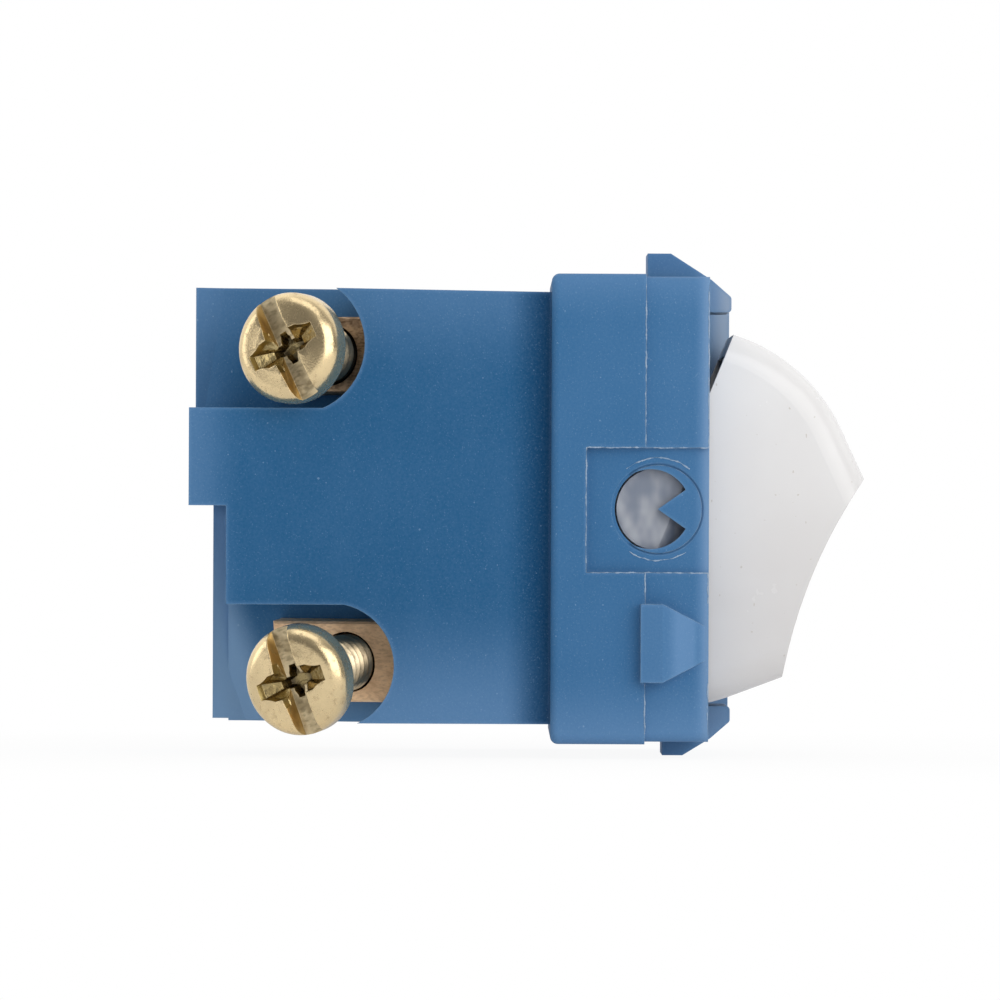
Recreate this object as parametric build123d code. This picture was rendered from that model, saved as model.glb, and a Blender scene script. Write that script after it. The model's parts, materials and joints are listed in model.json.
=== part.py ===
from build123d import *
from math import cos, radians, sin, sqrt, tan
import os

# Double pole rocker switch module: a body with two terminals on each side, a front frame that
# snaps into a mounting plate, a rocker, and for each pole a sprung plunger and a see-saw contact.
# X runs across the width, Y from the front (-) to the rear (+), Z up. All sizes are in mm.
# The origin is at mid width, on the shoulder behind the frame, level with the rocker's pivot.
# Pieces of the left pole (X below 0) are modelled, and those of the right pole mirror them.

# Front frame
frame_w, frame_h, frame_depth = 26.0, 24.05, 8.08
frame_step_y = -4.83        # the walls are thinner in front of this line
frame_step = 0.14
frame_corner_r = 0.5
window_w, window_h = 21.6, 21.0
recess_rear_y, recess_top, recess_bottom, recess_depth = -1.8, 3.14, -3.25, 0.4
far_rim_proud, far_rim_end_slope = 1.44, 0.5

# Snap nubs
side_nub_rear_y, side_nub_flat, side_nub_front_y = -4.6, 1.12, -7.9
side_nub_z, side_nub_h, side_nub_tip_h, side_nub_proud = -6.86, 4.0, 1.75, 0.65
tongue_w, tongue_slot, tongue_root_y = 8.0, 0.7, -2.6
tongue_tail, tongue_nose, tongue_bevel, tongue_end_r = 1.27, 0.24, 0.9, 0.2
top_nub_rear_y, top_nub_flat, top_nub_proud = -5.0, 1.2, 1.22
bottom_nub_rear_y, bottom_nub_flat, bottom_nub_proud = -5.85, 1.05, 0.73
tail_gap = 0.2              # from a tongue's tail to the rocker's sweep

# Rocker, in its own axes: u forward from the pivot, v up
pivot_y = -5.46
rocker_tilt = 22.3          # half of the swing
rocker_gap = 0.3            # between a flank and the frame's window
rocker_tip_u, rocker_tip_v = 9.24, 5.51
rocker_face_u = 8.64        # dished face, at its deepest
rocker_rear_u = 0.2
end_r_front, end_r_mid, end_r_rear = 10.33, 10.19, 9.79
end_a_front, end_a_mid = 44.8, 63.8
rocker_edge_r = 1.45
rocker_wall = 1.2
pin_r, pin_end_gap = 2.12, 0.2
pin_fit, pin_hole_chamfer = 0.08, 0.18
pin_lobe_r = 3.1
pin_tab_t, pin_tab_half_angle, pin_ledge_w = 0.4, 35.0, 0.52

# Body behind the frame
body_w, body_top, body_top_rise, body_bottom = 23.6, 11.09, 0.27, -11.03
spigot_depth, spigot_fit = 1.7, 0.05
chamber_w, chamber_h, chamber_rear_y = 18.0, 18.4, 4.4
pole_wall = 1.2
upper_rear_y, barrier_rear_y, lower_rear_y, core_rear_y = 18.38, 18.54, 16.62, 17.44
barrier_top, barrier_bottom = 5.11, 0.1
core_w, core_step = 9.2, 0.12

# Terminals
strip_t = 1.1
strip_fit = 0.05
plate_x = 8.8               # distance of a plate's outer face from mid width, at its hole
plate_front, line_plate_rear, load_plate_rear = 3.0, 3.4, 4.15
line_hole_y, line_hole_z, line_tilt, line_lift, line_plate_h = 11.37, 7.84, 26.0, 4.0, 3.96
load_hole_y, load_hole_z, load_tilt, load_lift, load_plate_h = 10.42, -7.93, 25.0, -8.5, 4.18
line_window_arc = [(11.05, body_top + 0.17), (9.56, 8.43), (11.69, barrier_top)]
load_window_arc = [(9.88, body_bottom), (8.01, -8.3), (10.57, -4.96)]
mouth_offset = 1.0

# Terminal screws
screw_r, screw_fit, screw_len, screw_tip_gap = 1.5, 0.07, 7.2, 0.3
head_r, head_h, head_edge_r = 2.85, 1.8, 0.85
line_screw_out, load_screw_out, screw_travel = 3.8, 5.1, 3.3
slot_w, slot_depth = 1.25, 0.8
cross_len, cross_w, cross_depth = 3.8, 1.0, 1.15
line_drive_turn, load_drive_turn = 118.0, 107.0

# Switch mechanism of one pole
pole_x = 4.9
plunger_r, plunger_fit, plunger_reach, plunger_len = 1.3, 0.05, 7.0, 8.5
tube_wall, tube_rear_u, tube_blind_u = 0.8, -3.5, 7.0
spring_wire_r, spring_turns, spring_guide_h = 0.16, 6, 1.2
swing_gap = 0.2             # plunger to arm, at mid swing
arm_t, arm_w, arm_bend, arm_swing = 0.7, 3.4, 12.0, 14.0
arm_up, arm_down = 4.4, 7.3
bead_r, bead_fit, cradle_h = 0.55, 0.07, 2.6
contact_r, contact_t, contact_z, contact_closed_gap = 1.3, 0.7, -6.3, 0.1

frame_front_y = -frame_depth
pin_x = frame_w / 2 - recess_depth - pin_tab_t - pin_end_gap
rocker_w = window_w - 2 * rocker_gap
arm_front_y = pivot_y + plunger_reach + swing_gap
bead_y = arm_front_y + arm_t + 0.06
plate_face_y = chamber_rear_y - strip_t


def block(x0, x1, y0, y1, z0, z1):
    """Box between two corners."""
    return Pos((x0 + x1) / 2, (y0 + y1) / 2, (z0 + z1) / 2) * Box(x1 - x0, y1 - y0, z1 - z0)


def side_prism(face, x0, x1):
    """Solid with an outline drawn in (Y, Z), from x0 to x1."""
    return extrude(Plane.YZ.offset(x0) * face, amount=x1 - x0, dir=(1, 0, 0))


def outline(*points):
    """Straight-sided face through the points."""
    return Polygon(*points, align=None)


def mirrored(solid):
    """The same piece on the other side of mid width."""
    return mirror(solid, about=Plane.YZ)


def both_sides(solid):
    return solid + mirrored(solid)


def polar(r, angle):
    return (r * cos(radians(angle)), r * sin(radians(angle)))


def x_rod(r, x0, x1, y=0.0, z=0.0):
    """Round bar along X."""
    return extrude(Plane.YZ.offset(x0) * Pos(y, z) * Circle(r), amount=x1 - x0, dir=(1, 0, 0))


# Rocker axes: u forward and v up, turned down at the front to the off position
def rocker_plane():
    a = radians(rocker_tilt)
    return Plane(origin=(0, pivot_y, 0), x_dir=(0, -cos(a), -sin(a)), z_dir=(-1, 0, 0))


def u_rod(r, u0, u1, side_x):
    """Round bar along u, at a distance from mid width."""
    return extrude(Plane.YZ.offset(u0) * Pos(0, -side_x) * Circle(r), amount=u1 - u0, dir=(1, 0, 0))


# A terminal's axes: z out along the screw, x along the plate to the rear
def terminal_plane(hole_y, hole_z, tilt, lift):
    a, b = radians(tilt), radians(lift)
    outward = (-cos(a) * cos(b), sin(a) * cos(b), sin(b))
    return Plane(origin=(-plate_x, hole_y, hole_z), x_dir=(sin(a), cos(a), 0), z_dir=outward)


line_plane = terminal_plane(line_hole_y, line_hole_z, line_tilt, line_lift)
load_plane = terminal_plane(load_hole_y, load_hole_z, load_tilt, load_lift)


def build_side_nub():
    """Snap wedge on a side wall: catch face to the rear, ramp and tapered sides to the front."""
    x_in, x_out = frame_w / 2 - frame_step - 0.2, frame_w / 2 + side_nub_proud
    flat_y = side_nub_rear_y - side_nub_flat
    ramp = Plane.XY.offset(side_nub_z - side_nub_h / 2) * outline(
        (-x_in, side_nub_rear_y), (-x_out, side_nub_rear_y), (-x_out, flat_y),
        (-x_in - 0.2, side_nub_front_y), (-x_in, side_nub_front_y))
    half, tip = side_nub_h / 2, side_nub_tip_h / 2
    taper = outline(
        (side_nub_rear_y, side_nub_z - half), (side_nub_rear_y, side_nub_z + half),
        (flat_y, side_nub_z + half), (side_nub_front_y, side_nub_z + tip),
        (side_nub_front_y, side_nub_z - tip), (flat_y, side_nub_z - half))
    return extrude(ramp, amount=side_nub_h, dir=(0, 0, 1)) & side_prism(taper, -x_out, -x_in)


def build_tongue(rear_y, flat, proud):
    """Snap finger of the top wall, with its nub and a tail that stands out in front."""
    top = frame_h / 2 - frame_step
    tail_y = frame_front_y - tongue_tail
    crest = frame_h / 2 + proud
    shoulder_y = frame_front_y - tongue_nose
    tail_bottom = sqrt((end_r_front + tail_gap) ** 2 - (pivot_y - frame_front_y) ** 2)
    face = outline(
        (tongue_root_y, window_h / 2), (tongue_root_y, top), (rear_y, top), (rear_y, crest),
        (rear_y - flat, crest), (shoulder_y, top), (tail_y, top - tongue_bevel),
        (tail_y, tail_bottom), (frame_front_y, tail_bottom), (frame_front_y, window_h / 2))
    corners = face.vertices().sort_by(Axis.X)[0:2]
    face = fillet(corners, tongue_end_r)
    return side_prism(face, -tongue_w / 2, tongue_w / 2)


def build_front_frame():
    w, h = frame_w / 2, frame_h / 2
    rear = block(-w, w, frame_step_y, 0, -h, h)
    rear = fillet(rear.edges().filter_by(Axis.Y), frame_corner_r)
    rear = fillet(rear.faces().sort_by(Axis.Y)[-1].edges(), frame_corner_r * 0.8)
    front = block(-w + frame_step, w - frame_step, frame_front_y, frame_step_y,
                  -h + frame_step, h - frame_step)
    front = fillet(front.edges().filter_by(Axis.Y), frame_corner_r)
    frame = rear + front

    # Raised rim on the right wall only
    rim_in, rim_out = window_w / 2, w - frame_step
    rim_y, rim_z = frame_front_y - far_rim_proud, h - frame_step - frame_corner_r
    rim_slope = far_rim_proud * far_rim_end_slope
    rim = outline((frame_front_y + 0.5, -rim_z), (frame_front_y, -rim_z),
                  (rim_y, -rim_z + rim_slope), (rim_y, rim_z - rim_slope),
                  (frame_front_y, rim_z), (frame_front_y + 0.5, rim_z))
    frame += side_prism(rim, rim_in, rim_out)

    frame -= block(-window_w / 2, window_w / 2, frame_front_y - 3, 1, -window_h / 2, window_h / 2)
    recess = block(-w - 1, -w + recess_depth, frame_front_y - 1, recess_rear_y,
                   recess_bottom, recess_top)
    frame -= recess + mirrored(recess & block(-w - 1, 0, frame_front_y, 0, -h, h))
    frame += both_sides(build_side_nub())

    # Top and bottom walls are slit on both sides of each tongue
    slit = block(tongue_w / 2, tongue_w / 2 + tongue_slot, frame_front_y - 3, tongue_root_y, -h - 1, h + 1)
    frame -= both_sides(slit)
    frame -= block(-tongue_w / 2, tongue_w / 2, frame_front_y - 3, tongue_root_y, -h - 1, h + 1)
    frame += build_tongue(top_nub_rear_y, top_nub_flat, top_nub_proud)
    lower = build_tongue(bottom_nub_rear_y, bottom_nub_flat, bottom_nub_proud)
    frame += mirror(lower, about=Plane.XY)

    # Pivot holes, each half closed outside by a tab that keeps the pin in
    hole_r = pin_r + pin_fit
    face_x = w - recess_depth
    frame -= x_rod(hole_r, -w - 1, w + 1, pivot_y)
    mouth = Plane.YZ.offset(-face_x) * Pos(pivot_y, 0) * Circle(hole_r + pin_hole_chamfer)
    frame -= both_sides(extrude(mouth, amount=pin_hole_chamfer, dir=(1, 0, 0), taper=45))
    return frame + both_sides(build_pin_tab(face_x, hole_r))


def build_pin_tab(face_x, hole_r):
    """Wedge with its point at the pivot, on a crescent ledge along the front of the hole."""
    reach = hole_r + 0.05
    wedge = outline((0, 0), polar(2 * reach, 180 - pin_tab_half_angle),
                    polar(2 * reach, 180 + pin_tab_half_angle))
    open_r = hole_r - pin_ledge_w / 2
    ledge = Circle(reach) - Pos(pin_ledge_w / 2 + 0.1, 0) * Circle(open_r + 0.1)
    face = (wedge & Circle(reach)) + ledge
    return side_prism(Pos(pivot_y, 0) * face, -face_x, -face_x + pin_tab_t)


def rocker_outline(offset):
    """Side view of the rocker in (u, v), or that of its hollow when offset is a wall."""
    tip = (rocker_tip_u - offset, rocker_tip_v)
    face = ThreePointArc((tip[0], -tip[1]), (rocker_face_u - offset, 0), tip)
    front = polar(end_r_front - offset, end_a_front)
    mid = polar(end_r_mid - offset, end_a_mid)
    rear = (rocker_rear_u, end_r_rear - offset)
    upper = [Line(tip, front), ThreePointArc(front, mid, rear)]
    low = [(p[0], -p[1]) for p in (tip, front, mid, rear)]
    lower = [Line(low[0], low[1]), ThreePointArc(low[1], low[2], low[3])]
    return make_face([face] + upper + lower + [Line(rear, low[3])])


def build_rocker():
    half = rocker_w / 2
    shell = extrude(rocker_outline(0), amount=half, both=True)
    rims = [e for e in shell.edges() if abs(abs(e.center().Z) - half) < 0.01
            and abs(e.center().Y) > rocker_tip_v]
    shell = fillet(rims, rocker_edge_r)
    shell -= extrude(rocker_outline(rocker_wall), amount=half - rocker_wall, both=True)

    # Lobes on the flanks carry the pivot pins
    lobe = Plane.XY.offset(half - rocker_wall) * Circle(pin_lobe_r)
    pin = Plane.XY.offset(half - rocker_wall) * Circle(pin_r)
    lobes = extrude(lobe, amount=rocker_wall)
    pins = extrude(pin, amount=pin_x - half + rocker_wall)
    lead = Pos(1.75, -1.1, pin_x) * Rot(0, 38, 0) * Box(2.4, 6, 1.2)
    arm = lobes + (pins - lead)
    shell += arm + mirror(arm, about=Plane.XY)

    # Two tubes with a web between them guide the plungers
    bore_r = plunger_r + plunger_fit
    web = Pos((tube_blind_u + rocker_rear_u) / 2, 0, 0) * Box(
        tube_blind_u - rocker_rear_u + 0.6, rocker_wall, 2 * pole_x)
    shell += web
    for side in (-1, 1):
        shell += u_rod(bore_r + tube_wall, tube_rear_u, tube_blind_u + 0.6, side * pole_x)
        shell -= u_rod(bore_r, tube_rear_u - 1, tube_blind_u, side * pole_x)
    return rocker_plane().location * shell


def build_plunger():
    """Round plunger with a domed tip and a pip that centres the spring."""
    top_u = plunger_len - plunger_reach
    body = u_rod(plunger_r, -plunger_reach + plunger_r, top_u, -pole_x)
    dome = Pos(-plunger_reach + plunger_r, 0, pole_x) * Sphere(plunger_r)
    pip = u_rod(plunger_r - 4 * spring_wire_r, top_u, top_u + spring_guide_h, -pole_x)
    return rocker_plane().location * (body + dome + pip)


def build_spring():
    """Compression spring between the plunger and the bottom of its bore."""
    coil_r = plunger_r - 2 * spring_wire_r
    start = plunger_len - plunger_reach + spring_wire_r
    length = tube_blind_u - start - spring_wire_r
    path = Helix(pitch=length / spring_turns, height=length, radius=coil_r)
    section = Plane(origin=path @ 0, z_dir=path % 0) * Circle(spring_wire_r)
    coil = sweep(section, path=path)
    return rocker_plane().location * (Pos(start, 0, pole_x) * Rot(0, 90, 0) * coil)


def arm_turned(solid):
    """Turn a piece of the see-saw from mid swing to the off position."""
    return Pos(0, bead_y, 0) * Rot(-arm_swing / 2, 0, 0) * Pos(0, -bead_y, 0) * solid


def arm_surface_y(z):
    """Front of the bent arm at mid swing."""
    return arm_front_y - abs(z) * tan(radians(arm_bend))


def build_contact_arm():
    """See-saw strip, bent forward on both sides of the bead that it rocks on."""
    x0, x1 = -pole_x - arm_w / 2, -pole_x + arm_w / 2
    strip = outline(
        (arm_surface_y(0), 0), (arm_surface_y(arm_up), arm_up), (arm_surface_y(arm_up) + arm_t, arm_up),
        (arm_surface_y(0) + arm_t, 0), (arm_surface_y(arm_down) + arm_t, -arm_down),
        (arm_surface_y(arm_down), -arm_down))
    arm = side_prism(strip, x0, x1)
    arm += x_rod(bead_r, x0, x1, bead_y) - side_prism(
        outline((-20, -5), (arm_front_y + 0.2, -5), (arm_front_y + 0.2, 5), (-20, 5)), x0 - 1, x1 + 1)
    return arm_turned(arm)


def lower_arm_plane():
    """On the back of the arm's lower half at mid swing, facing the fixed contact."""
    a = radians(arm_bend)
    return Plane(origin=(-pole_x, arm_surface_y(contact_z) + arm_t, contact_z),
                 x_dir=(1, 0, 0), z_dir=(0, cos(a), -sin(a)))


def contact_button(plane):
    """Round contact with a softened edge."""
    button = extrude(Circle(contact_r), amount=contact_t)
    button = chamfer(button.faces().sort_by(Axis.Z)[-1].edges(), 0.2)
    return plane.location * button


def build_moving_contact():
    return arm_turned(contact_button(lower_arm_plane()))


def closed_contact_point():
    """Centre of the moving contact's face when the switch is on, as (Y, Z)."""
    p = lower_arm_plane().origin + lower_arm_plane().z_dir * contact_t
    a = radians(arm_swing / 2)
    dy, dz = p.Y - bead_y, p.Z
    return bead_y + dy * cos(a) - dz * sin(a), dy * sin(a) + dz * cos(a)


def build_fixed_contact():
    y, z = closed_contact_point()
    face_y = y + contact_closed_gap + 0.12
    button = extrude(Circle(contact_r), amount=plate_face_y - face_y)
    button = chamfer(button.faces().sort_by(Axis.Z)[-1].edges(), 0.2)
    return Plane(origin=(-pole_x, plate_face_y, z), x_dir=(1, 0, 0), z_dir=(0, -1, 0)).location * button


def tapped_plate(plane, rear, height):
    """Plate under the screw, square to its axis, with the hole that the thread runs in."""
    plate = Pos((rear - plate_front) / 2, 0, -strip_t / 2) * Box(rear + plate_front, height, strip_t)
    plate = chamfer(plate.faces().sort_by(Axis.Z)[-1].edges(), 0.12)
    plate -= Cylinder(screw_r + screw_fit, 4 * strip_t)
    return plane.location * plate


def strip_leg_x(plane):
    """Distance from mid width of the outer face of the leg that runs forward from a plate."""
    return -(plane.origin - plane.x_dir * plate_front).X


def build_line_terminal():
    """Upper terminal: tapped plate, leg along the side wall, cross leg and cradle for the arm."""
    out_x = strip_leg_x(line_plane)
    in_x = out_x - strip_t
    half = line_plate_h / 2
    z0, z1 = line_hole_z - half, line_hole_z + half
    leg_rear_y = (line_plane.origin - line_plane.x_dir * plate_front).Y + 0.3
    arm0, arm1 = -pole_x - arm_w / 2, -pole_x + arm_w / 2
    strip = tapped_plate(line_plane, line_plate_rear, line_plate_h)
    strip += block(-out_x, -in_x, plate_face_y, leg_rear_y, z0, z1)
    cross_top = chamber_h / 2 - strip_fit
    strip += block(-out_x, arm1, plate_face_y, chamber_rear_y, z0, cross_top)
    strip += block(arm0, arm1, plate_face_y, chamber_rear_y, -cradle_h / 2, cross_top)
    strip += block(arm0, arm1, bead_y + 0.2, chamber_rear_y, -cradle_h / 2, cradle_h / 2)
    return strip - x_rod(bead_r + bead_fit, arm0 - 1, arm1 + 1, bead_y)


def build_load_terminal():
    """Lower terminal: tapped plate, leg along the side wall and cross leg behind the contact."""
    out_x = strip_leg_x(load_plane)
    in_x = out_x - strip_t
    half = load_plate_h / 2
    z0, z1 = load_hole_z - half, load_hole_z + half
    leg_rear_y = (load_plane.origin - load_plane.x_dir * plate_front).Y + 0.3
    inner = -pole_x + contact_r + 0.3
    contact_top = closed_contact_point()[1] + contact_r + 0.2
    strip = tapped_plate(load_plane, load_plate_rear, load_plate_h)
    strip += block(-out_x, -in_x, plate_face_y, leg_rear_y, z0, z1)
    cross_bottom = strip_fit - chamber_h / 2
    strip += block(-out_x, inner, plate_face_y, chamber_rear_y, cross_bottom, z1)
    pad_x = -pole_x - contact_r - 0.3
    return strip + block(pad_x, inner, plate_face_y, chamber_rear_y, cross_bottom, contact_top)


def terminal_pocket(plane, window, rear, height, screw_out):
    """Room for one terminal: a pocket whose walls follow the screw's axis, slots and screw hole."""
    above = plane.location * (Pos(0, 0, 20 - strip_t) * Box(60, 60, 40))
    # The mouth starts outside the body, moved along the axis so that it meets the side face in place
    axis = plane.z_dir
    start = mouth_offset / -axis.X
    mouth = Plane.YZ.offset(-body_w / 2 - mouth_offset) * Pos(start * axis.Y, start * axis.Z) * window
    beside_core = block(-body_w, -core_w / 2, 0, 2 * barrier_rear_y, 2 * body_bottom, 2 * body_top)
    pocket = extrude(mouth, amount=body_w / 2, dir=-plane.z_dir) & above & beside_core
    slot = Pos((rear - plate_front) / 2, 0, (strip_fit - strip_t) / 2) * Box(
        rear + plate_front + 2 * strip_fit, height + 2 * strip_fit, strip_t + strip_fit)
    tip_room = screw_len - screw_out + screw_travel - strip_t + screw_tip_gap
    hole = Pos(0, 0, -strip_t - tip_room / 2) * Cylinder(screw_r + screw_tip_gap, tip_room)
    out_x = strip_leg_x(plane) + strip_fit
    half = height / 2 + strip_fit
    front_end = plane.origin - plane.x_dir * plate_front
    in_x = min(out_x - strip_t - 2 * strip_fit, chamber_w / 2 - strip_fit)
    leg = block(-out_x, -in_x, plate_face_y - strip_fit, front_end.Y + 0.4,
                plane.origin.Z - half, plane.origin.Z + half)
    return pocket + plane.location * (slot + hole) + leg


def window_face(arc, z_open):
    """Window outline: its front end is an arc, and it is open to the rear and to z_open."""
    start, _, end = arc
    far = barrier_rear_y + body_w / 2
    corners = [start, (start[0], z_open), (far, z_open), (far, end[1]), end]
    return make_face([ThreePointArc(*arc)] + [Line(a, b) for a, b in zip(corners, corners[1:])])


def build_housing():
    w = body_w / 2
    core = block(-core_w / 2, core_w / 2, 0, core_rear_y, body_bottom + core_step, barrier_bottom)
    sides = block(-w, w, 0, lower_rear_y, body_bottom, barrier_bottom)
    sides += block(-w, w, 0, barrier_rear_y, barrier_bottom, barrier_top)
    upper = outline((0, barrier_top), (0, body_top), (upper_rear_y, body_top + body_top_rise),
                    (upper_rear_y, barrier_top))
    sides += side_prism(upper, -w, w)
    body = sides + core
    spigot_w = window_w / 2 - spigot_fit
    spigot_h = window_h / 2 - spigot_fit
    body += block(-spigot_w, spigot_w, -spigot_depth, 0, -spigot_h, spigot_h)

    # Two chambers, one for each pole, open to the front
    chamber = block(-chamber_w / 2, -pole_wall / 2, -spigot_depth - 1, chamber_rear_y,
                    -chamber_h / 2, chamber_h / 2)
    line_window = window_face(line_window_arc, body_top + 2)
    load_window = window_face(load_window_arc, body_bottom - 2)
    rooms = chamber + terminal_pocket(line_plane, line_window, line_plate_rear, line_plate_h,
                                      line_screw_out)
    rooms += terminal_pocket(load_plane, load_window, load_plate_rear, load_plate_h, load_screw_out)
    return body - both_sides(rooms)


def build_screw(plane, out, drive_turn):
    """Pan head screw with a slot across its head and a cross recess, backed out of its plate."""
    head = Pos(0, 0, head_h / 2) * Cylinder(head_r, head_h)
    head = fillet(head.edges().sort_by(Axis.Z)[-1], head_edge_r)
    slot = Pos(0, 0, head_h) * Box(2 * head_r + 1, slot_w, 2 * slot_depth)
    cross = Pos(0, 0, head_h) * Box(cross_len, cross_w, 2 * cross_depth)
    head -= Rot(0, 0, drive_turn) * (slot + cross + Rot(0, 0, 90) * cross)
    shank = Pos(0, 0, -screw_len / 2) * Cylinder(screw_r, screw_len)
    shank = chamfer(shank.faces().sort_by(Axis.Z)[0].edges(), 0.3)
    return plane.location * (Pos(0, 0, out) * (head + shank))


def save(name, solid):
    export_step(solid, "parts/" + name + ".step")


os.makedirs("parts", exist_ok=True)
save("housing", build_housing())
save("front_frame", build_front_frame())
save("rocker", build_rocker())

pole_pieces = {
    "plunger_spring": build_spring(),
    "contact_arm": build_contact_arm(),
    "moving_contact": build_moving_contact(),
    "fixed_contact": build_fixed_contact(),
    "line_terminal": build_line_terminal(),
    "load_terminal": build_load_terminal(),
    "line_screw": build_screw(line_plane, line_screw_out, line_drive_turn),
    "load_screw": build_screw(load_plane, load_screw_out, load_drive_turn),
}
for name, left_piece in pole_pieces.items():
    save(name + "_left", left_piece)
    save(name + "_right", mirrored(left_piece))

# A plunger is the same both ways round
save("plunger_left", build_plunger())
save("plunger_right", Pos(2 * pole_x, 0, 0) * build_plunger())
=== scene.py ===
"""Looks of a snap-in double pole rocker switch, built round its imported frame.

All sizes are in millimetres in the classes below and in metres once they reach a mesh.
X runs across the width, Y from the rocker at the front (-) to the rear (+), Z up.
"""
import json
import logging
import math
from dataclasses import dataclass
from enum import Enum
from typing import Callable, Iterable, Sequence

import bmesh
import bpy
from mathutils import Matrix, Vector


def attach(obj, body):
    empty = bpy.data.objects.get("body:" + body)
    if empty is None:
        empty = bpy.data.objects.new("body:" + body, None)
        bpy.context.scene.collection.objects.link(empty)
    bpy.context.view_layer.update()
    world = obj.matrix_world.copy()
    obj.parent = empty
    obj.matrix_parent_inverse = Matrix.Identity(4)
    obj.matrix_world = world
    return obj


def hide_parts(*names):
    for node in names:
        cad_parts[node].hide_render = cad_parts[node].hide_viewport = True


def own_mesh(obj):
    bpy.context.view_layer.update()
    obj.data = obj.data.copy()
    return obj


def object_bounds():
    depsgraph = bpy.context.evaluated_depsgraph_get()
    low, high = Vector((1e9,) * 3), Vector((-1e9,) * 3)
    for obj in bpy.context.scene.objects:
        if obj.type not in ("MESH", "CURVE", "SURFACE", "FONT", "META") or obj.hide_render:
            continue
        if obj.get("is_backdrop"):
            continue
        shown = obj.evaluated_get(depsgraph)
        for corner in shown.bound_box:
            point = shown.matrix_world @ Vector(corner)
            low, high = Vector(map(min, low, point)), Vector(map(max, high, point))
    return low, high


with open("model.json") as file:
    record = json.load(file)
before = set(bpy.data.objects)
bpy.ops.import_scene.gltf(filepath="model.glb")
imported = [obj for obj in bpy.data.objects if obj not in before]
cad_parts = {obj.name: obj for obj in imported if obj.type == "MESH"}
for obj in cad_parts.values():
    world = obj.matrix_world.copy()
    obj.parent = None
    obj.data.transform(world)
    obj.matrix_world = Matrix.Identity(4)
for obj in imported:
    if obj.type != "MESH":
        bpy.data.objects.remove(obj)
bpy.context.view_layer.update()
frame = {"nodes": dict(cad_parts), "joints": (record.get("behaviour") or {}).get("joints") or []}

MM = 0.001
Colour = tuple[float, float, float]
Socket = bpy.types.NodeSocket
Material = bpy.types.Material
Mesh = bpy.types.Mesh
Object = bpy.types.Object
BMesh = bmesh.types.BMesh
log = logging.getLogger("switch")


class Side(Enum):
    """The two poles, seen from the front."""

    LEFT = -1
    RIGHT = 1

    @property
    def word(self) -> str:
        """The name of the side as the nodes spell it."""
        return self.name.lower()


class NodeBook:
    """Thin helper that adds, sets and links the nodes of one tree."""

    def __init__(self, tree: bpy.types.NodeTree) -> None:
        """Keep the tree that the nodes go into.

        Args:
            tree: A shader or geometry node tree.
        """
        self.tree = tree

    def add(self, kind: str, inputs: dict | None = None, **settings: object) -> bpy.types.Node:
        """Add one node.

        Args:
            kind: The node's type name.
            inputs: Socket names or places with a constant, or a socket to link from.
            **settings: Properties of the node itself.

        Returns:
            The new node.
        """
        node = self.tree.nodes.new(kind)
        for name, value in settings.items():
            setattr(node, name, value)
        for name, value in (inputs or {}).items():
            socket = node.inputs[name]
            if isinstance(value, Socket):
                self.tree.links.new(value, socket)
            else:
                socket.default_value = value
        return node

    def link(self, source: Socket, target: Socket) -> None:
        """Link two sockets."""
        self.tree.links.new(source, target)

    def maths(self, operation: str, a: object, b: object = 0.0) -> Socket:
        """Result of one Math node.

        Args:
            operation: The Math node's operation.
            a: First value or socket.
            b: Second value or socket.

        Returns:
            The socket with the result.
        """
        return self.add("ShaderNodeMath", {0: a, 1: b}, operation=operation).outputs[0]

    def layer(self, under: object, over: object, share: object) -> Socket:
        """Put one colour over another.

        Args:
            under: Colour or socket below.
            over: Colour or socket on top.
            share: How much of the top one shows, from 0 to 1.

        Returns:
            The socket with the joined colour.
        """
        node = self.add("ShaderNodeMix", data_type="RGBA")
        for place, value in ((0, share), (6, under), (7, over)):
            if isinstance(value, Socket):
                self.link(value, node.inputs[place])
            elif place:
                node.inputs[place].default_value = (*value, 1.0)
            else:
                node.inputs[place].default_value = value
        return node.outputs[2]

    def ramp(self, value: Socket, low: float, high: float) -> Socket:
        """Stretch the part of a value from low to high over 0 to 1, with soft ends."""
        node = self.add("ShaderNodeMapRange", {"Value": value, "From Min": low, "From Max": high},
                        interpolation_type="SMOOTHSTEP")
        return node.outputs[0]

    def fade(self, value: Socket, start: float, end: float) -> Socket:
        """Share that grows from 0 at the start value to 1 at the end value, up or down."""
        grown = self.ramp(value, min(start, end), max(start, end))
        if start < end:
            return grown
        return self.maths("SUBTRACT", 1.0, grown)


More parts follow.
